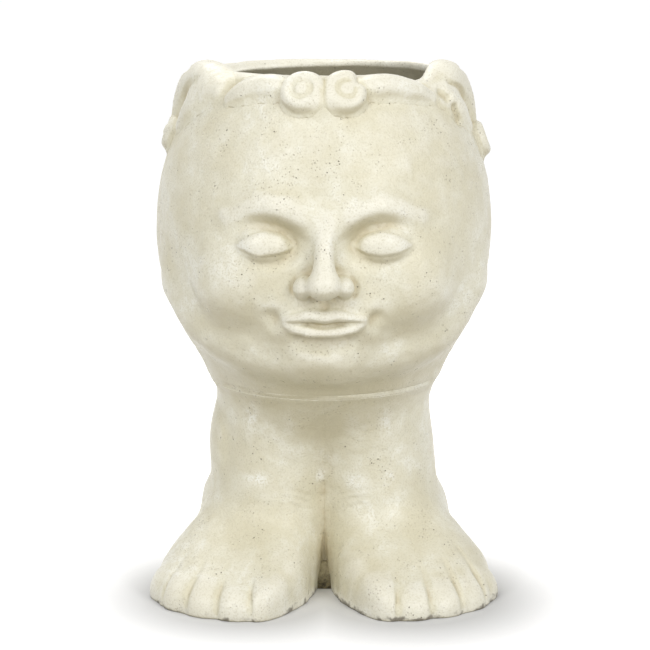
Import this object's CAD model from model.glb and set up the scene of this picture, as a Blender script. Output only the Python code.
# %% [markdown]
# # A head planter in cast cement
# The real object is a garden planter: cement is cast in a mould, taken out, fettled by hand, painted
# cream and rubbed with a tan wash. Nothing on it is sharp or quite even. Boxes and cylinders with bevels
# would always look machined, so the casting is modelled as a sculptor would do it: as one block of soft
# clay that is added to and cut into, and then divided into the pieces of the CAD frame.

# %% Load the CAD frame
import math

import bpy
import numpy as np
import openvdb as vdb
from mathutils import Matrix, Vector


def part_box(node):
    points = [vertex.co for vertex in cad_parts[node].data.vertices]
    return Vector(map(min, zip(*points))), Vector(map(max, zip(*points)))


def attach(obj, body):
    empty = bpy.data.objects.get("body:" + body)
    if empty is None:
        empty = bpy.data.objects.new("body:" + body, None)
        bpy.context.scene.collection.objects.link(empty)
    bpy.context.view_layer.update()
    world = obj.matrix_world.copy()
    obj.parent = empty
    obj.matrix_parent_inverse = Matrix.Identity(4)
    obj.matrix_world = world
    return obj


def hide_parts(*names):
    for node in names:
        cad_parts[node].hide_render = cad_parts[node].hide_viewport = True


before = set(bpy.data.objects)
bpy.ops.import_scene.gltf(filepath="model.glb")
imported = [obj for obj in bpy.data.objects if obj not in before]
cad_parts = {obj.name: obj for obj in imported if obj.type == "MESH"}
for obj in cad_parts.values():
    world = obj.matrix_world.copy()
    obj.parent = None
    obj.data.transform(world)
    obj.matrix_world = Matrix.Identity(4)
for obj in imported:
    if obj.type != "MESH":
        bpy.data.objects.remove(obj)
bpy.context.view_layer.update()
MM = 0.001

# %% [markdown]
# ## Camera, floor and light
# The photograph looks slightly down on the planter from about a metre and a quarter away. A long lens
# from that distance gives the same flat perspective. The camera only needs a place, a tilt and a focal
# length.

# %% Camera
image_px = 650
focal_px = 2105.0
camera_aside = 0.5 * MM
camera_distance = 1200 * MM
camera_height = 391 * MM
camera_tilt = math.radians(11.5)

lens = bpy.data.cameras.new("photo_lens")
lens.lens = focal_px / image_px * lens.sensor_width
camera = bpy.data.objects.new("photo_camera", lens)
camera.location = (camera_aside, -camera_distance, camera_height)
camera.rotation_euler = (math.radians(90) - camera_tilt, 0, 0)
bpy.context.collection.objects.link(camera)
scene = bpy.context.scene
scene.camera = camera
scene.view_settings.view_transform = "Standard"
print("lens", round(lens.lens, 1), "mm")

# %% [markdown]
# Floor, world and paint are all made of shader nodes. Every node needs the same few lines, so a small
# class writes them once: a recipe, with one plain word for each thing that is done with nodes.


# %% Recipes
class Recipe:
    """The nodes of a material or of the world."""

    def __init__(self, owner):
        owner.use_nodes = True
        self.tree = owner.node_tree
        self.tree.nodes.clear()

    def node(self, kind, inputs=(), **settings):
        """A new node. Each of its inputs gets a value, or a link from another node's output."""
        node = self.tree.nodes.new("ShaderNode" + kind)
        for label, setting in settings.items():
            setattr(node, label, setting)
        for label, value in inputs:
            if isinstance(value, bpy.types.NodeSocket):
                self.tree.links.new(value, node.inputs[label])
            else:
                node.inputs[label].default_value = value
        return node

    def combined(self, kind, first, second):
        """Two values put together by a kind of sum, such as MAXIMUM."""
        return self.node("Math", ((0, first), (1, second)), operation=kind).outputs[0]

    def scaled(self, value, factor, offset=0.0):
        """A value times a factor, plus an offset."""
        terms = ((0, value), (1, factor), (2, offset))
        return self.node("Math", terms, operation="MULTIPLY_ADD").outputs[0]

    def ramp(self, value, low, high, bottom=0.0, top=1.0, shape="SMOOTHSTEP"):
        """Maps a value from low..high to bottom..top, and holds it there."""
        ends = (("From Min", low), ("From Max", high), ("To Min", bottom), ("To Max", top))
        return self.node("MapRange", (("Value", value), *ends), interpolation_type=shape).outputs["Result"]

    def seen_directly(self):
        """1 for rays from the camera, reflections and refractions, and 0 for diffuse light."""
        path = self.node("LightPath").outputs
        seen = self.combined("MAXIMUM", path["Is Camera Ray"], path["Is Glossy Ray"])
        return self.combined("MAXIMUM", seen, path["Is Transmission Ray"])


print("recipes ready")

# %% [markdown]
# The background is a white studio sweep. The floor reflects light as pale card does. A little light of
# its own, seen only by the camera and in reflections, lifts it to white. That light grows away from the
# feet, as a sweep does that rises towards its own lamps, so the shadow round the feet and behind the
# heels stays.

# %% Floor
WHITE = (1, 1, 1, 1)
floor_half = 20.0
card_grey = 0.68
shadow_spots = ((-0.048, -0.052, 0), (0.048, -0.052, 0), (0, 0.030, 0))
shadow_edge, sweep_edge, sweep_glow = 0.052, 0.115, 0.72

floor_mesh = bpy.data.meshes.new("floor")
floor_corners = [(a * floor_half, b * floor_half, 0) for a, b in ((-1, -1), (1, -1), (1, 1), (-1, 1))]
floor_mesh.from_pydata(floor_corners, [], [(0, 1, 2, 3)])
floor = bpy.data.objects.new("floor", floor_mesh)
bpy.context.collection.objects.link(floor)
floor_paint = bpy.data.materials.new("white_sweep")
sweep = Recipe(floor_paint)
floor_place = sweep.node("TexCoord").outputs["Object"]
nearest = None
for spot in shadow_spots:
    away = sweep.node("VectorMath", ((0, floor_place), (1, spot)), operation="DISTANCE").outputs["Value"]
    nearest = away if nearest is None else sweep.combined("MINIMUM", nearest, away)
rising = sweep.ramp(nearest, shadow_edge, sweep_edge, 0.0, sweep_glow, "LINEAR")
lift = sweep.combined("MULTIPLY", rising, sweep.seen_directly())
glow = sweep.node("Emission", (("Color", WHITE), ("Strength", lift)))
card = sweep.node("BsdfDiffuse", (("Color", (card_grey, card_grey, card_grey, 1)),))
both = sweep.node("AddShader", ((0, card.outputs[0]), (1, glow.outputs[0])))
sweep.node("OutputMaterial", (("Surface", both.outputs[0]),))
floor_mesh.materials.append(floor_paint)
print("floor", round(2 * floor_half), "m wide")

# %% World
world_light = 0.44

world = bpy.data.worlds.new("studio")
scene.world = world
air = Recipe(world)
brightness = air.scaled(air.seen_directly(), 1 - world_light, world_light)
sky = air.node("Background", (("Color", WHITE), ("Strength", brightness)))
air.node("OutputWorld", (("Surface", sky.outputs[0]),))
print("white surround, its light", world_light)

# %% [markdown]
# In the photograph the feet and the curls are bright and the underside of the bowl is dull, so the two
# main soft boxes hang high on both sides. A third one behind lays a soft shadow in front of the feet. Two
# small boxes stand low in front and light the upright walls of head and ankles, which the high ones only
# graze.

# %% Soft boxes
# The name, the place in metres, the width in metres and the power in watts of each box
soft_boxes = (
    ("high_left_box", (-0.45, -0.95, 1.35), 0.70, 5.2),
    ("high_right_box", (0.95, -0.85, 1.10), 0.90, 5.6),
    ("back_box", (-0.25, 0.55, 1.20), 0.60, 5.0),
    ("low_left_box", (-0.85, -1.15, 0.75), 0.28, 4.2),
    ("low_right_box", (0.80, -1.20, 0.60), 0.28, 4.4),
)
middle = Vector((0, 0, 0.15))
for name, place, width, power in soft_boxes:
    lamp = bpy.data.lights.new(name, "AREA")
    lamp.shape = "SQUARE"
    lamp.size = width
    lamp.energy = power
    box = bpy.data.objects.new(name, lamp)
    box.location = place
    box.rotation_euler = (middle - Vector(place)).to_track_quat("-Z", "Y").to_euler()
    bpy.context.collection.objects.link(box)
print(len(soft_boxes), "soft boxes lit")

# %% [markdown]
# ## A block of clay
# A signed distance field is a grid of numbers that say how far each point is from the surface, negative
# inside. Adding clay is then a minimum of two fields, cutting is a maximum, and a soft minimum leaves the
# rounded fillet that a thumb leaves. Millimetres are used here, because every size of the casting is in
# them.

# %% The grid and the soft minimum
VOXEL = 0.9
margin = 6.0
boxes = [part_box(node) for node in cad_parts]
grid_low = np.min([low for low, high in boxes], axis=0) / MM - margin
grid_high = np.max([high for low, high in boxes], axis=0) / MM + margin
grid_shape = np.ceil((grid_high - grid_low) / VOXEL).astype(int)
axes = [(grid_low[i] + VOXEL * np.arange(grid_shape[i])).astype(np.float32) for i in range(3)]


def block(low, high):
    """The part of the grid between two corners: its slices and its x, y and z."""
    first = np.clip(np.floor((np.array(low) - grid_low) / VOXEL).astype(int), 0, grid_shape)
    last = np.clip(np.ceil((np.array(high) - grid_low) / VOXEL).astype(int) + 1, 0, grid_shape)
    part = tuple(slice(a, b) for a, b in zip(first, last))
    x = axes[0][part[0]][:, None, None]
    y = axes[1][part[1]][None, :, None]
    z = axes[2][part[2]][None, None, :]
    return part, x, y, z


def soft_min(a, b, soft):
    """The smaller of two fields, with a fillet about as wide as soft where they cross."""
    mix = np.clip(0.5 + 0.5 * (b - a) / soft, 0, 1)
    return b + (a - b) * mix - soft * mix * (1 - mix)


print("grid", grid_shape, "cells of", VOXEL, "mm")

# %% [markdown]
# Two shapes are enough for nearly everything: a ball with three radii, and a tube that runs through a
# list of points with a radius at each. Each is worked out only in its own corner of the grid, which keeps
# it fast.


# %% Balls and tubes
def ball(x, y, z, centre, radii):
    """Distance from an ellipsoid."""
    u, v, w = ((c - o) / r for c, o, r in zip((x, y, z), centre, radii))
    k = np.sqrt(u * u + v * v + w * w) + 1e-6
    slope = np.sqrt((u / radii[0]) ** 2 + (v / radii[1]) ** 2 + (w / radii[2]) ** 2) + 1e-6
    return k * (k - 1) / slope


def tube(x, y, z, points, radii):
    """Distance from a rounded tube through the points, with a radius at each of them."""
    nearest = None
    for (a, b), (ra, rb) in zip(zip(points, points[1:]), zip(radii, radii[1:])):
        run = [q - p for p, q in zip(a, b)]
        length2 = sum(r * r for r in run)
        px, py, pz = x - a[0], y - a[1], z - a[2]
        along = np.clip((px * run[0] + py * run[1] + pz * run[2]) / length2, 0, 1)
        off = (px - along * run[0]) ** 2 + (py - along * run[1]) ** 2 + (pz - along * run[2]) ** 2
        gap = np.sqrt(off) - (ra + along * (rb - ra))
        nearest = gap if nearest is None else np.minimum(nearest, gap)
    return nearest


print("ball and tube ready")


# %% Sculpting tools
def flowing(points, radii):
    """A soft curve through a few points, with its radii, as four times as many of both."""
    rows = np.column_stack([np.array(points, dtype=float), np.array(radii, dtype=float)])
    padded = np.vstack([2 * rows[0] - rows[1], rows, 2 * rows[-1] - rows[-2]])
    places = np.linspace(0, len(rows) - 1, 4 * (len(rows) - 1) + 1)
    first = np.minimum(places.astype(int), len(rows) - 2)
    t = (places - first)[:, None]
    a, b, c, d = (padded[first + k] for k in range(4))
    curve = b + 0.5 * t * (c - a + t * (2 * a - 5 * b + 4 * c - d + t * (3 * b - a - 3 * c + d)))
    return curve[:, :3], curve[:, 3]


def add_ball(field, centre, radii, soft, sign=1):
    """Presses a ball of clay onto the field."""
    reach = np.array(radii) + soft + 2 * VOXEL
    part, x, y, z = block(np.array(centre) - reach, np.array(centre) + reach)
    field[part] = sign * soft_min(sign * field[part], ball(x, y, z, centre, radii), soft)


def cut_ball(field, centre, radii, soft):
    """Scoops a ball out of the field."""
    add_ball(field, centre, radii, soft, -1)


def add_tube(field, points, radii, soft, sign=1):
    """Lays a roll of clay along the points."""
    reach = max(radii) + soft + 2 * VOXEL
    part, x, y, z = block(np.min(points, axis=0) - reach, np.max(points, axis=0) + reach)
    field[part] = sign * soft_min(sign * field[part], tube(x, y, z, points, radii), soft)


def cut_tube(field, points, radii, soft):
    """Draws a groove along the points."""
    add_tube(field, points, radii, soft, -1)


print("sculpting tools ready")

# %% [markdown]
# ## The bowl
# The head is a round bowl: its side is one arc below the widest level and one above it, turned about the
# upright axis. The same two arcs, taken from the CAD sizes, give the distance from the bowl everywhere.

# %% Bowl sizes and the places on it
head_low, head_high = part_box("head_pot")
bed_low, bed_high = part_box("neck_mortar_bed")
head_half = (head_high.x - head_low.x) / 2 / MM
head_base_z = bed_high.z / MM
leg_top_z = bed_low.z / MM
head_centre_z = 205.0
rim_z = 293.0
rim_half = 66.5
mouth_half = 55.5
neck_half = 62.5


def arc_size(half_width, end_half, height):
    """Radius of the arc that starts upright at the widest level and ends at end_half, a height away."""
    return ((half_width - end_half) ** 2 + height**2) / (2 * (half_width - end_half))


low_arc = arc_size(head_half, neck_half, head_centre_z - head_base_z)
high_arc = arc_size(head_half, rim_half, rim_z - head_centre_z)


def head_radius(z):
    """Radius of the bowl's outside at height z."""
    arc = high_arc if z > head_centre_z else low_arc
    return head_half - arc + math.sqrt(arc**2 - (z - head_centre_z) ** 2)


def on_head(angle, z, lift=0.0):
    """A point on the bowl, turned from the front towards the right, and lifted off it."""
    turn = math.radians(angle)
    arc = high_arc if z > head_centre_z else low_arc
    lean = math.asin((z - head_centre_z) / arc)
    radius = head_radius(z) + lift * math.cos(lean)
    return (radius * math.sin(turn), -radius * math.cos(turn), z + lift * math.sin(lean))


def on_face(x, z, lift=0.0):
    """A point on the front of the bowl, straight behind x and z as one looks at the face."""
    return (x, -math.sqrt(head_radius(z) ** 2 - x * x) - lift, z)


print("bowl", round(2 * head_half), "mm wide, base at", round(head_base_z), "mm")

# %% [markdown]
# A rounded lip closes the wall at the top. It is not quite level: at the right temple a thumb has pressed
# it down, and through that dip one sees deeper into the bowl.


# %% The bowl's outside
def turned_side(radius, z, half_width, low, high):
    """Distance from a side turned about the axis, with one arc below the widest level and one above."""
    below = np.hypot(radius - (half_width - low), z - head_centre_z) - low
    above = np.hypot(radius - (half_width - high), z - head_centre_z) - high
    return np.where(z > head_centre_z, above, below)


lip_swell, lip_sunk, lip_blend = 0.6, 2.5, 3.0
dip_centre, dip_radii, dip_blend = on_head(52, 301.9, -4.0), (18.0, 18.0, 8.0), 4.0

everything, x, y, z = block(grid_low, grid_high)
radius = np.sqrt(x * x + y * y)
head = np.maximum(turned_side(radius, z, head_half, low_arc, high_arc), z - rim_z)
lip_half = (rim_half + mouth_half) / 2
lip_round = (rim_half - mouth_half) / 2 + lip_swell
lip = np.hypot(radius - lip_half, z - (rim_z - lip_sunk)) - lip_round
head = soft_min(head, lip, lip_blend).astype(np.float32)
cut_ball(head, dip_centre, dip_radii, dip_blend)
print("bowl roughed out, with a dip in the rim at x", round(dip_centre[0]))

# %% [markdown]
# Small forms need to sit exactly on the surface, and after so much blending nobody knows where that is.
# So the field is asked: a probe moves in a straight line until it is inside the clay.


# %% Probe
def touch(field, start, way, lift=0.0):
    """The first point inside the clay on the way from start, moved back out by lift."""
    way = np.array(way) / np.linalg.norm(way)
    longest = np.linalg.norm(grid_high - grid_low)
    steps = np.array(start) + np.arange(0, longest, VOXEL / 3)[:, None] * way
    cells = np.clip(np.round((steps - grid_low) / VOXEL).astype(int), 0, grid_shape - 1)
    first = np.flatnonzero(field[tuple(cells.T)] < 0)[0]
    return tuple(steps[first] - lift * way)


def from_front(field, x, z, lift=0.0):
    """The front of the clay behind x and z."""
    return touch(field, (x, grid_low[1], z), (0, 1, 0), lift)


def from_above(field, x, y, lift=0.0):
    """The top of the clay under x and y."""
    return touch(field, (x, y, grid_high[2]), (0, 0, -1), lift)


print("probe ready")

# %% [markdown]
# ## The face
# The face is a calm, general one, set out as drawing books do it. Hairline, brow, base of the nose and
# chin are a third apart, the head is five eyes wide, and the lips close at a third of the way from nose
# to chin. It is built from large forms to small: brow, sockets and cheeks first, then lids, nose and
# lips.

# %% Guide lines of the face
SIDES = (-1, 1)
hairline_z = 270.0
chin_z = 138.0
face_third = (hairline_z - chin_z) / 3
nose_z = chin_z + face_third
brow_z = nose_z + face_third
eye_z = brow_z - 0.38 * face_third
mouth_z = nose_z - face_third / 3
eye_width = 31.0
mouth_half_width = 25.0


def shape_face(tool, form, side=1):
    """Uses a tool on the face. A form is x, z, the lift off the bowl, three radii and the fillet, in mm."""
    across, up, lift, radii, soft = form
    tool(head, on_face(side * across, up, lift), radii, soft)


print("brow", brow_z, "eyes", round(eye_z), "nose", nose_z, "mouth", round(mouth_z))

# %% Large forms of the face
brow_line = ((7, 222), (19, 227), (34, 229), (50, 223))
brow_radii, brow_lift, brow_blend = (4.2, 5.8, 5.0, 2.0), -2.8, 10
jaw_radii, jaw_blend = (9, 8, 6), 18
socket = (eye_width, eye_z, 3.0, (17, 8.5, 11), 9)
cheek = (44, 186, -14, (21, 16, 19), 20)
muzzle = (0, 169, -12, (28, 17, 18), 15)
chin = (0, 147, -4, (17, 13, 11), 12)

for side in SIDES:
    ridge = [on_face(side * across, up, brow_lift) for across, up in brow_line]
    add_tube(head, *flowing(ridge, brow_radii), brow_blend)
    shape_face(cut_ball, socket, side)
    shape_face(add_ball, cheek, side)
    jaw = [on_face(side * 12, 141, -2), on_head(side * 48, 150, -4), on_head(side * 68, 176, -6)]
    add_tube(head, *flowing(jaw, jaw_radii), jaw_blend)
shape_face(add_ball, muzzle)
shape_face(add_ball, chin)
print("brow, sockets, cheeks, jaw and chin laid on")

# %% [markdown]
# The eyes rest closed. A ball under the lid gives the round form, a groove along its lower third is where
# the lids meet, and a second, fainter groove above it is the fold of the upper lid.

# %% Eyes
eyeball = (eye_width, eye_z - 1, -7.0, (15.5, 12.0, 10.5), 3.0)
lid_half, lid_drop, lid_sag, fold_rise, fold_arch = 16.0, 2.0, 4.8, 0.5, 7.4
lash_out, lash_up, lash_radius = 0.9, 1.5, 1.6
lid_steps = np.linspace(-1, 1, 13)
lid_bow = 1 - lid_steps**2
lid_taper = 1 - 0.6 * lid_steps**2
barely = 0.2

for side in SIDES:
    shape_face(add_ball, eyeball, side)
    meeting, fold = [], []
    for step, bow in zip(lid_steps, lid_bow):
        lid_x = side * eye_width + lid_half * step
        meeting.append(from_front(head, lid_x, eye_z - lid_drop - lid_sag * bow, barely))
        fold.append(from_front(head, lid_x, eye_z + fold_rise + fold_arch * bow, barely))
    lash = [(a, b + lash_out, c + lash_up) for a, b, c in meeting]
    add_tube(head, lash, lash_radius * lid_taper, 2.2)
    cut_tube(head, meeting, 1.0 * lid_taper, 1.1)
    cut_tube(head, fold, 0.7 * lid_taper, 2.6)
print("two closed eyes at x", eye_width, "mm")

# %% [markdown]
# The nose is a roll of clay that widens towards its tip, with a small ball on each side for the wings.
# The nostrils are scooped from below. The lips are two more rolls, with the line between them cut in
# last.

# %% Nose
bridge = [on_face(0, 224, -4), on_face(0, 212, 2.0), on_face(0, 198, 7.5), on_face(0, 190, 10.0)]
bridge_radii, bridge_blend = (5.0, 4.6, 6.2, 8.0), 7
nose_tip = (0, 189, 9.5, (9.0, 7.5, 7.0), 4)
nose_wing = (10.5, 187, 3.2, (6.2, 8.0, 6.2), 3.2)
nostril = (5.8, 181.0, 7.5, (3.2, 4.6, 2.6), 1.6)
wing_crease = ((15.5, 192, 1.0), (17.6, 186, 0.6), (16.0, 181.5, 1.4))
crease_radii, crease_blend = (0.6, 0.9, 0.6), 2.0

add_tube(head, bridge, bridge_radii, bridge_blend)
shape_face(add_ball, nose_tip)
for side in SIDES:
    shape_face(add_ball, nose_wing, side)
    shape_face(cut_ball, nostril, side)
    line = [on_face(side * across, up, lift) for across, up, lift in wing_crease]
    cut_tube(head, line, crease_radii, crease_blend)
print("nose reaches", round(-from_front(head, 0, nose_tip[1])[1]), "mm from the axis")

# %% Lips
lip_steps = np.linspace(-1, 1, 17)
fullness = 1 - lip_steps**2
bow_height, bow_place, bow_width = 1.5, 0.3, 0.2
upper_edge, upper_rise, upper_proud, upper_round = 0.6, 2.6, 0.8, 2.8
lower_edge, lower_drop, lower_proud, lower_round = 1.0, 4.9, 1.2, 3.6
lower_share, lip_thin, mouth_blend = 0.88, 0.8, 2.0

philtrum = [from_front(head, 0, 180, 0.6), from_front(head, 0, 174, 0.6)]
cut_tube(head, philtrum, (1.0, 1.6), 4.0)
upper, lower = [], []
for step, full in zip(lip_steps, fullness):
    bow = bow_height * math.exp(-(((abs(step) - bow_place) / bow_width) ** 2))
    upper_z = mouth_z + upper_edge + upper_rise * full + bow
    lower_z = mouth_z - lower_edge - lower_drop * full
    lower_x = lower_share * mouth_half_width * step
    upper.append(from_front(head, mouth_half_width * step, upper_z, barely + upper_proud * full))
    lower.append(from_front(head, lower_x, lower_z, barely + lower_proud * full))
add_tube(head, upper, lip_thin + upper_round * fullness, mouth_blend)
add_tube(head, lower, lip_thin + lower_round * fullness, mouth_blend)
print("lips", round(2 * mouth_half_width), "mm wide")

# %% Line between the lips, corners and chin
parting_share, parting_drop, corner_turn, middle_dip, waves = 1.02, 0.6, 0.9, 0.7, 6
corner_x, corner_z = mouth_half_width + 2.5, mouth_z + 0.4
chin_dent = ((-12, 157), (0, 155.5), (12, 157))

parting = []
for step, full in zip(lip_steps, fullness):
    wave = corner_turn * step * step - middle_dip * full * math.cos(waves * step)
    parting_x = parting_share * mouth_half_width * step
    parting.append(from_front(head, parting_x, mouth_z - parting_drop + wave, 0.3))
cut_tube(head, parting, lip_thin + 0.6 * fullness, 1.1)
for side in SIDES:
    cut_ball(head, from_front(head, side * corner_x, corner_z), (2.2, 1.2, 2.6), 7.0)
under_lip = [from_front(head, across, up, 1.2) for across, up in chin_dent]
cut_tube(head, under_lip, (0.8, 2.2, 0.8), 9.0)
print("lips parted at", round(mouth_z), "mm")

# %% [markdown]
# ## The hair
# Hair on a casting is a few thick locks, not strands. At the back it is only relief on the bowl: rolls
# that hang from under the lip and end in a turn, a long and a short one by turns. In front, where two
# curls will sit, a pad of clay fills the hollow behind them.

# %% Locks in relief round the back
lock_angles = range(108, 250, 14)
lock_bend, short_by = 4, 6
# Degrees aside, the share of the bend, the height, the share of the shortening, the lift and the radius
lock_line = (
    (0, 0.0, 286, 0, -3.0, 5.0),
    (0, 1.0, 276, 0, -1.5, 7.6),
    (0, 0.4, 263, 1, -1.2, 7.4),
    (0, -1.0, 252, 1, -1.5, 5.6),
    (0, -0.2, 245, 1, -1.8, 2.0),
)
comb_line = ((1, 0.0, 283, 0, 2.6, 0.5), (0, 1.0, 274, 0, 4.9, 1.0), (0, 0.4, 263, 1, 5.0, 0.5))
pad_place, pad_radii, pad_blend = on_head(0, 283.0, -3.5), (11.0, 8.0, 8.0), 6.0


def hanging(line, angle, bend, drop):
    """A line that hangs from the rim at an angle, as a soft curve with its radii."""
    points = []
    for aside, turn, up, short, lift, _ in line:
        points.append(on_head(angle + aside + turn * bend, up + short * drop, lift))
    return flowing(points, [radius for *_, radius in line])


for count, angle in enumerate(lock_angles):
    drop = short_by if count % 2 else 0
    bend = lock_bend if angle < 180 else -lock_bend
    add_tube(head, *hanging(lock_line, angle, bend, drop), 3.0)
    cut_tube(head, *hanging(comb_line, angle, bend, drop), 1.6)
add_ball(head, pad_place, pad_radii, pad_blend)
print(len(lock_angles), "locks in relief, and a pad under the curls")

# %% [markdown]
# In front the hair stands proud, so each lock and curl is a sprig of its own: clay that was shaped apart
# and pressed on. A curl is a ball with a dimple and a roll wound round it. The roll of the right one
# stays open.

# %% The form of a curl
FAR = 30.0
# Shares of a curl's size, and of how proud it stands for the lift of its ring
ball_share, ring_share, ring_closing, ring_lift = 0.72, 0.70, 0.08, 0.36
roll_share, roll_taper, dimple_share, dimple_lift = 0.31, 0.05, 0.20, 0.16
groove_place, groove_share = 0.42, 0.06
sprigs = {}


def no_clay():
    """A field that is far from any clay everywhere."""
    return np.full(grid_shape, FAR, np.float32)


def cropped(field):
    """The part of a field that holds clay, with its slices, to save memory."""
    cells = np.argwhere(field < FAR / 3)
    part = tuple(slice(max(a - 8, 0), b + 9) for a, b in zip(cells.min(axis=0), cells.max(axis=0)))
    return part, field[part].copy()


def curl(angle, z, size, proud, opening):
    """A scroll curl: a dimpled ball inside a rolled ring, which starts at an angle and runs over another."""
    field = no_clay()
    here = np.array(on_head(angle, z))
    out = np.array(on_head(angle, z, 1.0)) - here
    right = np.array([math.cos(math.radians(angle)), math.sin(math.radians(angle)), 0.0])
    up = np.cross(right, -out)
    add_ball(field, tuple(here), [ball_share * size] * 3, 1.0)

    def around(step):
        """The direction from the middle of the curl at a share of the ring's run."""
        swing = math.radians(opening[0] + step * opening[1])
        return right * math.cos(swing) + up * math.sin(swing)

    run = np.linspace(0, 1, 25)
    ring = []
    for t in run:
        away = around(t) * (size * (ring_share - ring_closing * t))
        ring.append(tuple(here + away + out * (ring_lift * proud)))
    add_tube(field, ring, size * (roll_share - roll_taper * run), 3.4)
    groove = []
    for t in np.linspace(0, 1, 17):
        start = here + around(t) * (groove_place * size) + out * (4 * proud)
        groove.append(touch(field, start, -out, 0.1))
    cut_tube(field, groove, [groove_share * size] * len(groove), 3.2)
    dimple = touch(field, here + out * (4 * proud), -out, dimple_lift * size)
    cut_ball(field, dimple, [dimple_share * size] * 3, 4.0)
    return cropped(field)


print("a curl's ring turns", ring_share, "of its size from the middle")

# %% Wind four curls
front_angle, front_z, front_size, front_proud = 9.2, 287.0, 12.2, 10.0
side_angle, side_z, side_size, side_proud = 90.0, 257.0, 10.5, 6.6
ring_openings = {-1: (20, 345), 1: (75, 285)}
for side, name in zip(SIDES, ("left", "right")):
    opening = ring_openings[side]
    sprigs[name + "_front_curl"] = curl(side * front_angle, front_z, front_size, front_proud, opening)
    uneven_z, uneven_proud = side_z - 2 * side, side_proud + 1.4 * side
    sprigs[name + "_side_curl"] = curl(side * side_angle, uneven_z, side_size, uneven_proud, opening)
print("four curls wound")

# %% [markdown]
# The brow locks are single rolls along the rim. The temples carry three rolls side by side, whose grooves
# read as combed hair, and whose upper edge makes the humps on both sides of the mouth. On the right the
# rolls didn't quite close: two slots are left, and they are cut into lock and bowl alike, or the fillet
# would fill them.

# %% Lines of the brow and temple locks
# Along the brow lock: the share of its length, the height and the radius
brow_lock = ((0.0, 289.5, 4.4), (0.25, 290.3, 6.2), (0.5, 289.6, 6.2), (0.78, 287.0, 5.2), (1.0, 283.5, 2.2))
brow_start, brow_ends, brow_lock_lift = 16.5, {-1: 44.0, 1: 52.0}, 0.9
hump_starts, hump_end = {-1: 53.0, 1: 67.0}, 82
temple_grooves = (((66, 287), (75, 282), (82, 273), (85, 266)), ((80, 291), (91, 286), (98, 277), (99, 268)))
slots = (((57.5, 283.5), (60.0, 280.5)), ((63.5, 275.5), (66.5, 269.5)))
slot_radii, slot_lift, slot_blend = (2.6, 2.3), -0.8, 4.0


def temple_rolls(side):
    """Three rolls on a temple: angles and heights, radii, and how far they are lifted off the bowl."""
    start = hump_starts[side]
    hump = ((start, 288), ((start + hump_end) / 2, 290.5), (hump_end, 288), (89, 279), (92, 265))
    return (
        (((54, 286), (62, 283), (70, 276), (77, 266)), (3.0, 6.6, 7.0, 3.0), -1.0),
        (hump, (6.0, 11.5, 13.0, 11.0, 6.0), -1.5),
        (((84, 290), (96, 288), (104, 279), (105, 267)), (5.0, 8.4, 7.2, 3.0), -1.0),
    )


def on_hair(field, side, line, lift):
    """Points on a lock, along angles and heights, lifted off its surface."""
    clay = np.minimum(head, field)
    points = []
    for angle, up in line:
        start, bowl = np.array(on_head(side * angle, up, FAR)), np.array(on_head(side * angle, up))
        points.append(touch(clay, start, bowl - start, lift))
    return points


print("brow locks from", brow_start, "degrees to", brow_ends)

# %% Lay the locks
for side, name in zip(SIDES, ("left", "right")):
    roll = no_clay()
    length = brow_ends[side] - brow_start
    line = [on_head(side * (brow_start + share * length), up, brow_lock_lift) for share, up, _ in brow_lock]
    add_tube(roll, *flowing(line, [radius for *_, radius in brow_lock]), 1.0)
    sprigs[name + "_brow_lock"] = cropped(roll)
    bundle = no_clay()
    for line, radii, lift in temple_rolls(side):
        add_tube(bundle, *flowing([on_head(side * a, up, lift) for a, up in line], radii), 8.0)
    deep = 0.7 + 0.2 * side
    for line in temple_grooves:
        groove = on_hair(bundle, side, line, 0.15)
        cut_tube(bundle, *flowing(groove, (deep / 2, deep, deep, deep / 2)), 4.0 - side)
    if side > 0:
        for line in slots:
            slot = on_hair(bundle, side, line, slot_lift)
            for clay in (bundle, head):
                cut_tube(clay, slot, slot_radii, slot_blend)
    sprigs[name + "_temple_lock"] = cropped(bundle)
print(len(sprigs), "sprigs shaped")

# %% [markdown]
# ## The legs
# Each leg is an oval column that leaves the round neck, parts from its neighbour on the way down and
# turns into a broad foot. The ovals are given at five heights, and a smooth curve runs through them, as
# in a loft.

# %% Ankle columns
column_heights = np.array((0.0, 0.40, 0.62, 0.82, 1.0)) * leg_top_z
column_out = np.array((0.52, 0.46, 0.38, 0.24, 0.0)) * neck_half
column_wide = np.array((0.60, 0.62, 0.65, 0.75, 1.0)) * neck_half
column_deep = np.array((0.80, 0.74, 0.72, 0.80, 1.0)) * neck_half
column_blend, into_head, above_legs = 7.0, 14, 18


def through(places, values):
    """A smooth curve through five values."""
    return np.poly1d(np.polyfit(places, values, len(places) - 1))


legs = no_clay()
low_part, x, y, z = block(grid_low, (grid_high[0], grid_high[1], leg_top_z + above_legs))
level = np.clip(z, 0, leg_top_z)
column_sizes = (column_out, column_wide, column_deep)
out_at, wide_at, deep_at = (through(column_heights, size)(level) for size in column_sizes)
columns = None
for side in SIDES:
    oval = np.hypot((x - side * out_at) / wide_at, y / deep_at)
    column = (oval - 1) * np.minimum(wide_at, deep_at)
    columns = column if columns is None else soft_min(columns, column, column_blend)
legs[low_part] = np.maximum(columns, z - (leg_top_z + into_head))
print("columns", round(leg_top_z), "mm tall")

# %% [markdown]
# The foot is lofted the same way along its own line, which turns out from the middle. Its sections go
# from round at the ankle to squarer at the toes, and its back keeps falling past the last one, or the end
# would bulge like a slipper. Every toe is a blunt roll that points away from the ankle.

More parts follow.
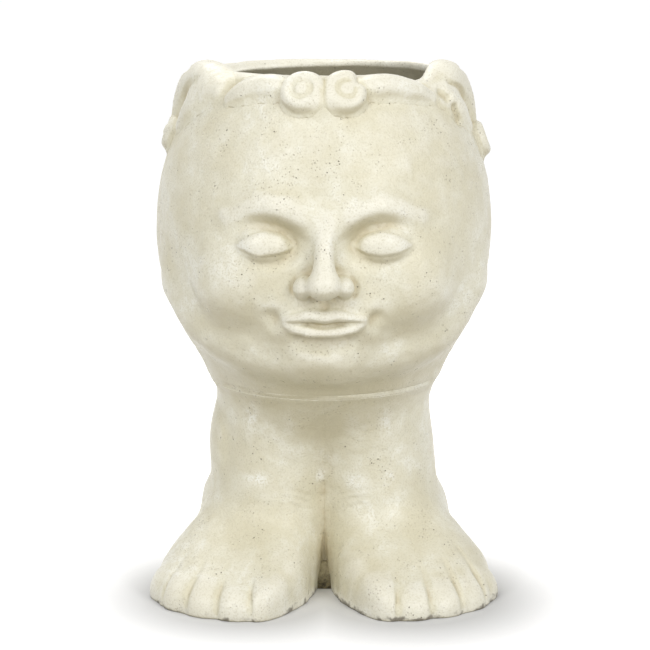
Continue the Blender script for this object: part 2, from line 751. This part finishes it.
# %% Sizes of the feet
splay = math.radians(16)
foot_length, foot_half, foot_round = 72.0, 48.0, 22.0
instep = 62.0
feet_half = 97.0
toe_reach = {-1: 100.0, 1: 98.0}
ankle_out = 36.0
outer_trim = 0.0065
toe_slope = 0.60
gap_start, gap_half, gap_curve, gap_close = 39.0, 2.5, 0.0078, 0.3
foot_along = np.array((0.0, 0.35, 0.65, 0.88, 1.0)) * foot_length
foot_wide = np.array((0.80, 0.90, 0.98, 1.00, 0.94)) * foot_half
foot_high = np.array((1.00, 0.88, 0.68, 0.51, 0.42)) * instep
# Each toe's share of the feet's half width and of their reach, its radius and its length
toes = (
    (0.32, 0.99, 13.2, 23.0),
    (0.52, 0.97, 11.2, 21.0),
    (0.70, 0.90, 10.8, 20.0),
    (0.86, 0.78, 10.2, 19.0),
    (0.96, 0.60, 9.4, 18.0),
)
root_rise, tip_rise, root_thin = 0.45, 0.36, 0.80
toe_blend, foot_blend, feet_blend, gap_soft, toe_square = 2.6, 9.0, 2.5, 0.85, 0.8
feet_box = ((-112, -112, -6), (112, 40, 78))
ankle = {side: np.array((side * ankle_out, 0.0)) for side in SIDES}


def toe_line(side, toe):
    """The tip of a toe on the ground and the direction in which it points."""
    tip = np.array((side * feet_half * toe[0], -toe_reach[side] * toe[1]))
    return tip, (tip - ankle[side]) / np.linalg.norm(tip - ankle[side])


print("foot", foot_length + foot_round, "mm from the ankle to its round end")

# %% Feet
foot_part, x, y, z = block(*feet_box)
feet = None
for side in SIDES:
    along = side * math.sin(splay) * (x - side * ankle_out) - math.cos(splay) * y
    across = math.cos(splay) * (x - side * ankle_out) + side * math.sin(splay) * y
    along = along + outer_trim * np.maximum(side * across, 0) ** 2
    reach = np.clip(along, 0, foot_length)
    wide, high = through(foot_along, foot_wide)(reach), through(foot_along, foot_high)(reach)
    high = high - toe_slope * np.clip(along - foot_length, 0, foot_round)
    past = np.abs(along - reach) / foot_round
    square = 2 + toe_square * (reach / foot_length) ** 2
    foot = (np.abs(across) / wide) ** square + (np.maximum(z, 0) / high) ** square + past**square
    foot = foot ** (1 / square) - 1
    rolls = no_clay()
    for toe in toes:
        tip, pointing = toe_line(side, toe)
        thick, length = toe[2:]
        root, end = tip - pointing * length, tip - pointing * thick
        line = [(*root, root_rise * thick), (*end, tip_rise * thick)]
        add_tube(rolls, line, (root_thin * thick, thick), toe_blend)
    one = soft_min(foot * np.minimum(wide, high), rolls[foot_part], foot_blend)
    feet = one if feet is None else soft_min(feet, one, feet_blend)
ahead = -y - gap_start
gap = np.abs(x) - gap_half - np.where(ahead > 0, gap_curve * ahead**2, gap_close * ahead)
feet = -soft_min(-feet, gap_soft * gap, foot_blend)
legs[foot_part] = soft_min(legs[foot_part], feet, foot_blend)
print("two feet,", 2 * len(toes), "toes")

# %% [markdown]
# The feet part below the ankles. The cleft between them starts as a faint line and opens into a wide gap
# at the toes. Short grooves part the toes, and a few fine wrinkles lie where the skin of a foot folds.

# %% Cleft, ankles and grooves
cleft = [(0, -52, 66), (0, -50, 50), (0, -51, 34), (0, -54, 18), (0, -60, 2)]
cleft_radii, cleft_blend = (0.3, 1.0, 2.2, 3.5, 5.0), 6.0
line_heights, line_radii = np.linspace(62, 14, 12), 0.1 + 1.6 * np.linspace(0, 1, 12) ** 2
groove_heights, groove_backs = (1.5, 5.0, 8.5), (9, 13)
groove_radii, groove_blend = (0.8, 1.1, 1.2, 1.0, 0.8, 0.2), 2.0
wrinkle_radii, wrinkle_heights = (0.1, 0.35, 0.45, 0.45, 0.3, 0.1), (47.0, 51.0, 55.5)
wrinkle_start, wrinkle_length, wrinkle_arch, wrinkle_bend = 9, 19, 5, 2.2

cut_tube(legs, *flowing(cleft, cleft_radii), cleft_blend)
line = [from_front(legs, 0, up, -0.6) for up in line_heights]
cut_tube(legs, line, line_radii, 1.5)
for side in SIDES:
    ankle_bone, heel = (side * 60.5, 8, 40 - 2 * side), (side * 33, 34, 13)
    add_ball(legs, ankle_bone, (9, 12, 11), 12)
    add_ball(legs, heel, (24, 17, 15), 10)
    for first, second in zip(toes, toes[1:]):
        between = (toe_line(side, first)[0] + toe_line(side, second)[0]) / 2
        back = (ankle[side] - between) / np.linalg.norm(ankle[side] - between)
        ahead = between - back * 25
        groove = [touch(legs, (*ahead, up), (*back, 0), 0.2) for up in groove_heights]
        groove += [from_above(legs, *(between + back * d), 0.2) for d in (*groove_backs, first[3])]
        cut_tube(legs, groove, groove_radii, groove_blend)
    for rise in wrinkle_heights:
        wrinkle = []
        for step in np.linspace(0, 1, len(wrinkle_radii)):
            wrinkle_x = side * (wrinkle_start + wrinkle_length * step)
            wrinkle_z = rise + wrinkle_arch * math.sin(wrinkle_bend * step)
            wrinkle.append(from_front(legs, wrinkle_x, wrinkle_z, 0.15))
        cut_tube(legs, wrinkle, wrinkle_radii, 1.6)
left_calf = (-57, 0, 80)
add_ball(legs, left_calf, (9, 24, 24), 8)
print("cleft, ankle bones, heels, toe grooves and wrinkles made")

# %% [markdown]
# ## One casting
# Head and legs are joined with a wide fillet, as they come out of one mould, and a faint wavy line is
# left where they meet. Then the block is made less perfect: lumps of three sizes are added, as a casting
# has that was finished by hand, and a light blur melts the tool marks.


# %% Join and age the casting
def lumps(spacing, seed):
    """Smooth random bumps about as wide as spacing, between about -1 and 1."""
    size = np.ceil(grid_shape * VOXEL / spacing).astype(int) + 2
    values = np.random.default_rng(seed).uniform(-1, 1, size).astype(np.float32)
    for axis in range(3):
        place = np.arange(grid_shape[axis]) * VOXEL / spacing
        whole = place.astype(int)
        part = place - whole
        mix = (part * part * (3 - 2 * part)).astype(np.float32)
        mix = mix.reshape([-1 if k == axis else 1 for k in range(3)])
        values = np.take(values, whole, axis) * (1 - mix) + np.take(values, whole + 1, axis) * mix
    return values


def melt(field, passes):
    """Blurs a field by about a voxel each pass."""
    for _ in range(passes):
        for axis in range(3):
            f = np.moveaxis(field, axis, 0)
            f[1:-1] = 0.25 * f[:-2] + 0.5 * f[1:-1] + 0.25 * f[2:]
    return field


neck_blend = 15.0
joint_radius, joint_blend, joint_start = 0.2, 2.2, 110
# The height in mm, the number and the start in degrees of each wave round the neck
joint_waves = ((1.1, 3, 0), (0.7, 7, 40))
# The height, the spacing and the seed of each size of lump
lump_sizes = ((0.50, 22.0, 1), (0.24, 8.0, 2), (0.11, 3.2, 3))

casting = soft_min(head, legs, neck_blend)
joint = []
for angle in range(0, 361, 12):
    wave = sum(high * math.sin(math.radians(count * angle + first)) for high, count, first in joint_waves)
    turn = math.radians(angle)
    out = np.array((math.sin(turn), -math.cos(turn), 0.0))
    start = joint_start * out + (0, 0, (head_base_z + leg_top_z) / 2 + wave)
    joint.append(touch(casting, start, -out, 0.1))
cut_tube(casting, joint, [joint_radius] * len(joint), joint_blend)
del head, legs, feet, foot, rolls, one, columns, column, oval
unevenness = sum(high * lumps(spacing, seed) for high, spacing, seed in lump_sizes)
casting = melt(casting + unevenness, 1)
print("casting joined, uneven by up to", round(float(np.abs(unevenness).max()), 2), "mm")

# %% [markdown]
# The bowl is hollowed with its own two arcs, and the legs are hollow up to the neck, as they are around
# the core of a mould. The core of the bowl leaned to the right, so the mouth is off the middle there. The
# floor has the tapered hole that the rubber plug closes.

# %% Hollow it
bowl_wall, bowl_floor_z = 12.0, 136.0
inside_half = head_half - bowl_wall
inside_high_arc = arc_size(inside_half, mouth_half, rim_z - head_centre_z)
mouth_shift, shift_from_z = 5.0, 255.0
drain_half, drain_taper, drain_over = 9.5, 0.1, 2
socket_half, socket_z = 38.8, 103.2
core_out, core_wide, core_deep = 27.0, 18.0, 30.0
hollow_blend, hollow_lumps = 1.6, 0.3


def hollow_spaces(x, y, z):
    """Distance from everything that is empty: bowl, drain hole, socket and the cores of the legs."""
    shift = mouth_shift * np.clip((z - shift_from_z) / (rim_z - shift_from_z), 0, 1)
    radius = np.sqrt((x - shift) ** 2 + y * y)
    space = turned_side(radius, z, inside_half, low_arc - bowl_wall, inside_high_arc)
    space = np.where(z > rim_z, radius - mouth_half, space)
    space = np.maximum(space, bowl_floor_z - z)
    radius = np.sqrt(x * x + y * y)
    drain = radius - (drain_half + (z - head_base_z) * drain_taper)
    drain = np.maximum(drain, np.maximum(z - bowl_floor_z - drain_over, head_base_z - drain_over - z))
    socket = np.maximum(radius - socket_half, np.maximum(socket_z - z, z - head_base_z))
    core = (np.hypot((np.abs(x) - core_out) / core_wide, y / core_deep) - 1) * core_wide
    space = np.minimum(np.minimum(space, drain), socket)
    return np.minimum(space, np.maximum(core, z - leg_top_z))


everything, x, y, z = block(grid_low, grid_high)
radius = np.sqrt(x * x + y * y)
spaces = hollow_spaces(x, y, z)
casting = -soft_min(-casting, spaces + hollow_lumps * lumps(9.0, 4), hollow_blend)
casting = np.maximum(casting, -z)
spaces = np.clip(spaces[::2, ::2, ::2], -FAR, FAR)
print("hollowed, mouth", round(2 * mouth_half), "mm wide")

# %% [markdown]
# The sprigs are pressed on with a small fillet. Each keeps only the clay that it added, and so ends in a
# thin edge on the bowl, as pressed-on clay does.

# %% Press the sprigs on
whole = casting.copy()
feather, fillet, sprig_lumps, clear_of_mouth = 0.12, 6.0, 0.7, 1.5
sprig_pieces = {}
for name, (part, sprig) in sprigs.items():
    here = casting[part]
    joined = soft_min(here, sprig + sprig_lumps * unevenness[part], fillet)
    empty = hollow_spaces(x[part[0]], y[:, part[1]], z[:, :, part[2]])
    joined = np.maximum(joined, clear_of_mouth - empty)
    sprig_pieces[name] = (part, np.maximum(joined, joined - here + feather))
    whole[part] = np.minimum(whole[part], joined)
print(len(sprig_pieces), "sprigs pressed on")

# %% [markdown]
# ## From field to mesh
# A mesh is drawn where the field is zero. The paint will want to know how deep each corner of it lies in
# a crease. That is the field less its own blur: a short blur finds narrow grooves, and a long one finds
# broad hollows.


# %% Creases
def sampled(field, points, spacing):
    """The field's value at points in mm, blended between its cells."""
    place = np.clip((points - grid_low) / spacing, 0, np.array(field.shape) - 1.001)
    first = place.astype(int)
    part = place - first
    total = np.zeros(len(points))
    for corner in np.ndindex(2, 2, 2):
        share = np.prod(np.where(corner, part, 1 - part), axis=1)
        total += share * field[tuple((first + corner).T)]
    return total


crease_reach, short_blur, long_blur = 14, 3, 14
small = np.clip(whole[::2, ::2, ::2], -crease_reach, crease_reach)
del whole
narrow = small - melt(small.copy(), short_blur)
broad = small - melt(small.copy(), long_blur)
print("crease depth up to", round(float(narrow.max()), 2), "and", round(float(broad.max()), 2), "mm")


# %% Meshing
def mesh_of(name, field, part):
    """Draws the zero surface of a part of the grid as a mesh in metres."""
    grid = vdb.FloatGrid(FAR)
    grid.copyFromArray(np.ascontiguousarray(np.clip(field, -FAR, FAR)), (0, 0, 0))
    points, quads = grid.convertToQuads(0.0)
    first = np.array([side.start for side in part])
    points = (np.asarray(points, dtype=np.float64) + first) * VOXEL + grid_low
    mesh = bpy.data.meshes.new(name)
    mesh.vertices.add(len(points))
    mesh.vertices.foreach_set("co", (points * MM).astype(np.float32).ravel())
    mesh.loops.add(quads.size)
    mesh.loops.foreach_set("vertex_index", np.asarray(quads, dtype=np.int32).ravel())
    mesh.polygons.add(len(quads))
    mesh.polygons.foreach_set("loop_start", np.arange(0, quads.size, 4, dtype=np.int32))
    mesh.update(calc_edges=True)
    mesh.validate()
    return mesh, points


def volume_of(mesh):
    """Volume inside a mesh in cubic centimetres, negative when its faces look inwards."""
    mesh.calc_loop_triangles()
    spots = np.empty(len(mesh.vertices) * 3)
    mesh.vertices.foreach_get("co", spots)
    corners = np.empty(len(mesh.loop_triangles) * 3, dtype=np.int32)
    mesh.loop_triangles.foreach_get("vertices", corners)
    a, b, c = np.moveaxis(spots.reshape(-1, 3)[corners.reshape(-1, 3)], 1, 0)
    return float(np.einsum("ij,ij->i", a, np.cross(b, c)).sum() / 6 * 1e6)


print("meshing ready")

# %% [markdown]
# ## The paint
# The planter was painted cream and rubbed with a thin tan wash, which stays in the creases and pits.
# Where the cement was never painted, in the bowl and under the soles, it is grey and rougher. One
# material does it all, so that the pieces match where they meet, and three values, stored with each mesh,
# say which look shows where.


# %% Finishes
class Finish(Recipe):
    """The recipe of a material: a principled surface, and patterns that are fixed to the object."""

    def __init__(self, name):
        self.material = bpy.data.materials.new(name)
        super().__init__(self.material)
        self.shader = self.node("BsdfPrincipled")
        self.node("OutputMaterial", (("Surface", self.shader.outputs["BSDF"]),))
        self.place = self.node("TexCoord").outputs["Object"]

    def give(self, label, value):
        """Links a value to an input of the surface."""
        self.tree.links.new(value, self.shader.inputs[label])

    def noise(self, size, detail=3.0, rough=0.55):
        """A noise whose features are about as large as size in metres."""
        inputs = (("Vector", self.place), ("Scale", 1.0 / size), ("Detail", detail), ("Roughness", rough))
        return self.node("TexNoise", inputs).outputs["Fac"]

    def upright(self, vector):
        """The upright part of a vector."""
        return self.node("SeparateXYZ", (("Vector", vector),)).outputs["Z"]

    def stored(self, name):
        """A value that was stored with the mesh."""
        return self.node("Attribute", attribute_name=name).outputs["Fac"]

    def over(self, amount, under, colour):
        """Lays a colour over another by an amount."""
        node = self.node("Mix", (("Factor", amount),), data_type="RGBA")
        below, above = [socket for socket in node.inputs if socket.type == "RGBA"]
        for socket, value in ((below, under), (above, colour)):
            if isinstance(value, tuple):
                socket.default_value = (*value, 1)
            else:
                self.tree.links.new(value, socket)
        return [socket for socket in node.outputs if socket.type == "RGBA"][0]

    def bump(self, relief, depth, strength=1.0):
        """Tilts the light as if the relief were that deep."""
        inputs = (("Height", relief), ("Distance", depth), ("Strength", strength))
        self.give("Normal", self.node("Bump", inputs).outputs["Normal"])


def screen(red, green, blue):
    """A colour as a screen shows it, from 0 to 255, turned into the linear one that light needs."""
    return tuple(((c / 255 + 0.055) / 1.055) ** 2.4 for c in (red, green, blue))


print("finishes ready")

# %% [markdown]
# From the bottom up: cream in two tones, lighter cream where edges wore, bright spots where the piece was
# handled, tan grain, tan wash in the creases, and a dull tone under the bowl, where dust and damp stay.

# %% Aged cream paint
cream, cream_shade = screen(223, 219, 199), screen(214, 208, 183)
worn_cream, handled_cream = screen(236, 233, 220), screen(240, 239, 229)
grain_tan, wash_tan, underside_tan = screen(188, 180, 150), screen(184, 169, 132), screen(184, 174, 142)

paint = Finish("aged_cream_paint")
cloud, mottle, grain = paint.noise(0.030, 4.0), paint.noise(0.006, 5.0), paint.noise(0.0011, 3.0)
crease = paint.stored("crease")
colour = paint.over(paint.ramp(cloud, 0.38, 0.64), cream, cream_shade)
colour = paint.over(paint.ramp(crease, -0.2, -1.0, 0.0, 0.55), colour, worn_cream)
rubbed = paint.combined("MULTIPLY", paint.ramp(cloud, 0.50, 0.36), paint.ramp(mottle, 0.42, 0.58))
handled = paint.combined("MULTIPLY", paint.stored("handled"), paint.ramp(mottle, 0.34, 0.54, 0.2, 1.1))
bright = paint.combined("MAXIMUM", paint.scaled(rubbed, 0.5), handled)
bright = paint.combined("MULTIPLY", bright, paint.ramp(grain, 0.35, 0.55, 0.3, 1.0))
colour = paint.over(bright, colour, handled_cream)
colour = paint.over(paint.ramp(grain, 0.52, 0.34, 0.0, 0.30), colour, grain_tan)
thin = paint.ramp(mottle, 0.35, 0.7, 0.5, 1.0)
wash = paint.combined("MULTIPLY", paint.ramp(crease, 0.15, 1.8, 0.0, 0.7), thin)
colour = paint.over(wash, colour, wash_tan)
facing = paint.upright(paint.node("NewGeometry").outputs["Normal"])
colour = paint.over(paint.ramp(facing, -0.05, -0.55, 0.0, 0.65), colour, underside_tan)
print("paint and wash mixed")

# %% [markdown]
# Cement has pinholes, where air sat in the mould. They are the middles of the cells of a Voronoi pattern,
# kept only where a second pattern allows it, so that they come in families. Dirt makes the large ones
# dark. The paint is chipped here and there, and along the soles patches of it are dirty or rubbed off.

# %% Pinholes, chips and the bare cement
pit_brown, pinhole_brown = screen(150, 134, 102), screen(104, 94, 72)
chip_grey, sole_dirt = screen(120, 112, 96), screen(104, 96, 82)
raw_light, raw_dark = screen(150, 148, 121), screen(118, 116, 93)


def specks(spacing, low, high, family):
    """Small round spots about spacing metres apart, kept where the family pattern is high."""
    cells = paint.node("TexVoronoi", (("Vector", paint.place), ("Scale", 1.0 / spacing)))
    return paint.combined("MULTIPLY", paint.ramp(cells.outputs["Distance"], high, low), family)


family = paint.noise(0.016, 3.0)
coarse = specks(0.0042, 0.05, 0.12, paint.ramp(family, 0.50, 0.60))
fine = specks(0.0019, 0.10, 0.22, paint.ramp(family, 0.44, 0.64))
colour = paint.over(paint.scaled(fine, 0.5), colour, pit_brown)
colour = paint.over(paint.scaled(coarse, 0.85), colour, pinhole_brown)
chip = paint.ramp(paint.noise(0.0075, 6.0, 0.62), 0.73, 0.75)
colour = paint.over(paint.scaled(chip, 0.8), colour, chip_grey)
ragged = paint.combined("ADD", paint.upright(paint.place), paint.scaled(mottle, 0.012, -0.006))
patches = paint.ramp(family, 0.47, 0.56, 0.10, 1.0)
dirt = paint.combined("MULTIPLY", paint.ramp(ragged, 0.0034, 0.0006, 0.0, 0.85), patches)
colour = paint.over(dirt, colour, sole_dirt)
bare = paint.stored("bare")
raw = paint.over(paint.ramp(mottle, 0.35, 0.68), raw_light, raw_dark)
paint.give("Base Color", paint.over(bare, colour, raw))
print("pinholes, chips and bare cement added")

# %% [markdown]
# The paint has a dull sheen on the high places and is dry in the creases and on bare cement. Grain and
# pinholes are too small to model, so they only tilt the light: a bump, which changes no outline.

# %% Sheen and grain
dry = paint.combined("ADD", paint.scaled(wash, 0.18), paint.scaled(bare, 0.40))
paint.give("Roughness", paint.combined("ADD", paint.ramp(mottle, 0.3, 0.7, 0.27, 0.42), dry))
hole = paint.combined("MAXIMUM", coarse, paint.scaled(fine, 0.6))
relief = paint.combined("SUBTRACT", paint.scaled(grain, 0.5), hole)
relief = paint.combined("SUBTRACT", relief, paint.scaled(chip, 0.8))
relief = paint.combined("ADD", relief, paint.scaled(mottle, 0.8))
paint.bump(relief, 0.6 * MM, 0.8)
print("paint finished")

# %% [markdown]
# ## The pieces
# Now every field becomes a mesh, rides on its body and takes the place of its CAD node. Three values are
# stored with its corners: the crease, whether the surface is bare, and how much it was handled. The
# handled spots lie on the front of the ankles, where people grip the planter to lift it.


# %% Make a piece
# The x, the z, the half width and the half height of each handled spot
handled_spots = (
    (-41, 103, 4.4, 9.0),
    (-20, 102, 4.2, 8.5),
    (16.5, 103, 4.6, 8.0),
    (35, 102, 4.0, 9.0),
    (-38, 66, 6.5, 3.4),
    (-2, 67, 3.0, 4.5),
    (18, 65, 5.5, 4.0),
    (36, 67, 3.6, 3.8),
)
narrow_full, broad_full = 0.5, 2.6
paint_ends, paint_fades = rim_z - 7, 12
sole_bare = 0.3
sharp_angle = math.radians(60)


def looks_at(points):
    """The three values for the paint at points in mm."""
    crease = sampled(narrow, points, 2 * VOXEL) / narrow_full
    crease = crease + sampled(broad, points, 2 * VOXEL) / broad_full
    emptiness = sampled(spaces, points, 2 * VOXEL)
    x, y, z = points.T
    bare = np.clip((hollow_blend - emptiness) / 0.8, 0, 1) * np.clip((paint_ends - z) / paint_fades, 0, 1)
    bare = np.maximum(bare, np.clip((sole_bare - z) / sole_bare, 0, 1))
    handled = np.zeros(len(points))
    for spot_x, spot_z, half_wide, half_high in handled_spots:
        off = ((x - spot_x) / half_wide) ** 2 + ((z - spot_z) / half_high) ** 2
        handled = np.maximum(handled, np.exp(-off) * (y < 0))
    return {"crease": crease, "bare": bare, "handled": handled}


def add_piece(name, field, part, finish):
    """Meshes a field as the visible form of the CAD node of that name."""
    mesh, points = mesh_of(name + "_cast", field, part)
    if volume_of(mesh) < 0:
        mesh.flip_normals()
    for label, values in looks_at(points).items():
        layer = mesh.attributes.new(label, "FLOAT", "POINT")
        layer.data.foreach_set("value", values.astype(np.float32))
    mesh.shade_smooth()
    mesh.set_sharp_from_angle(angle=sharp_angle)
    mesh.materials.append(finish.material)
    piece = bpy.data.objects.new(name + "_cast", mesh)
    bpy.context.collection.objects.link(piece)
    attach(piece, "pot")
    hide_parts(name)
    print(piece.name, len(mesh.polygons), "faces,", round(abs(volume_of(mesh)), 1), "cubic cm")


print("ready to make pieces")

# %% [markdown]
# The casting is divided where the CAD divides it: at the mortar bed and along the middle of the legs.
# Neighbours reach a fraction of a millimetre into each other, so that no dark slit shows between them.

# %% Head, bed, legs and sprigs
lap, bed_shy = 0.6, 0.05
spigot_radius, spigot_half_wall, spigot_z, spigot_half = 33.0, 5.0, 114.2, 7.2
for name, (part, field) in sprig_pieces.items():
    add_piece(name, field, part, paint)
spigot = np.maximum(np.abs(radius - spigot_radius) - spigot_half_wall, np.abs(z - spigot_z) - spigot_half)
bowl = np.minimum(np.maximum(casting, head_base_z - lap - z), spigot)
add_piece("head_pot", bowl, everything, paint)
del spigot, bowl
bed_middle = (head_base_z + leg_top_z) / 2
bed_half = (head_base_z - leg_top_z) / 2 + lap
bed = np.maximum(casting + bed_shy, np.abs(z - bed_middle) - bed_half)
add_piece("neck_mortar_bed", bed, everything, paint)
for side, name in zip(SIDES, ("left", "right")):
    leg = np.maximum(casting, np.maximum(z - leg_top_z - lap, -side * x - lap))
    add_piece(name + "_leg", leg, everything, paint)
del bed, leg

# %% [markdown]
# Low between the feet the mortar was left rough: lumps, holes and dirt. Its face leans back as it rises,
# and higher up, where a brush could reach, it caught a little paint and fades into the cleft.

# %% Finish of the mortar
dirt_dark, dirt_light, painted_mortar = screen(62, 56, 40), screen(134, 124, 94), screen(172, 162, 130)

mortar = Finish("rough_mortar")
crumbs = mortar.noise(0.0022, 6.0, 0.65)
colour = mortar.over(mortar.ramp(crumbs, 0.34, 0.66), dirt_dark, dirt_light)
painted = mortar.combined("MULTIPLY", mortar.ramp(mortar.upright(mortar.place), 0.003, 0.009), crumbs)
mortar.give("Base Color", mortar.over(mortar.scaled(painted, 1.5), colour, painted_mortar))
mortar.shader.inputs["Roughness"].default_value = 0.92
mortar.bump(crumbs, 0.8 * MM)
print("mortar mixed")

# %% Mortar between the feet
web_low, web_high = (np.array(corner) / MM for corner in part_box("foot_mortar_web"))
web_middle_x, web_half_x = (web_low[0] + web_high[0]) / 2, (web_high[0] - web_low[0]) / 2
web_knee, web_lean, web_rise = 6.0, 0.3, 0.6
web_back, web_sunk, web_aside, web_lap = 4.5, 6.0, 4, 0.8
web_lumps = ((0.4, 5.0, 5), (0.7, 1.9, 6))

front = web_low[1] + web_back + np.where(z > web_knee, web_rise, web_lean) * (z - web_knee)
web = np.maximum(y - web_high[1], front - y)
web = np.maximum(web, z - (web_high[2] - web_sunk))
web = np.maximum(web, np.abs(x - web_middle_x) - web_half_x - web_aside)
for high, spacing, seed in web_lumps:
    web = web + high * lumps(spacing, seed)
web = melt(np.maximum(web, -(casting + web_lap)), 1)
add_piece("foot_mortar_web", np.maximum(web, -z), everything, mortar)

# %% [markdown]
# ## The plug
# The drain plug is a turned piece of black rubber, and its CAD mesh has all of its shape already. It only
# gets a material: rubber is never quite black, is matt, and is dusty.

# %% Rubber
rubber_black, dust_grey = screen(44, 43, 42), screen(120, 116, 106)

rubber = Finish("dusty_rubber")
dust = rubber.noise(0.005, 5.0)
rubber.give("Base Color", rubber.over(rubber.ramp(dust, 0.45, 0.75, 0.0, 0.5), rubber_black, dust_grey))
rubber.give("Roughness", rubber.ramp(dust, 0.3, 0.7, 0.55, 0.8))
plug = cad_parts["drain_plug"]
for material_slot in plug.material_slots:
    material_slot.material = rubber.material
print("plug dressed in rubber")
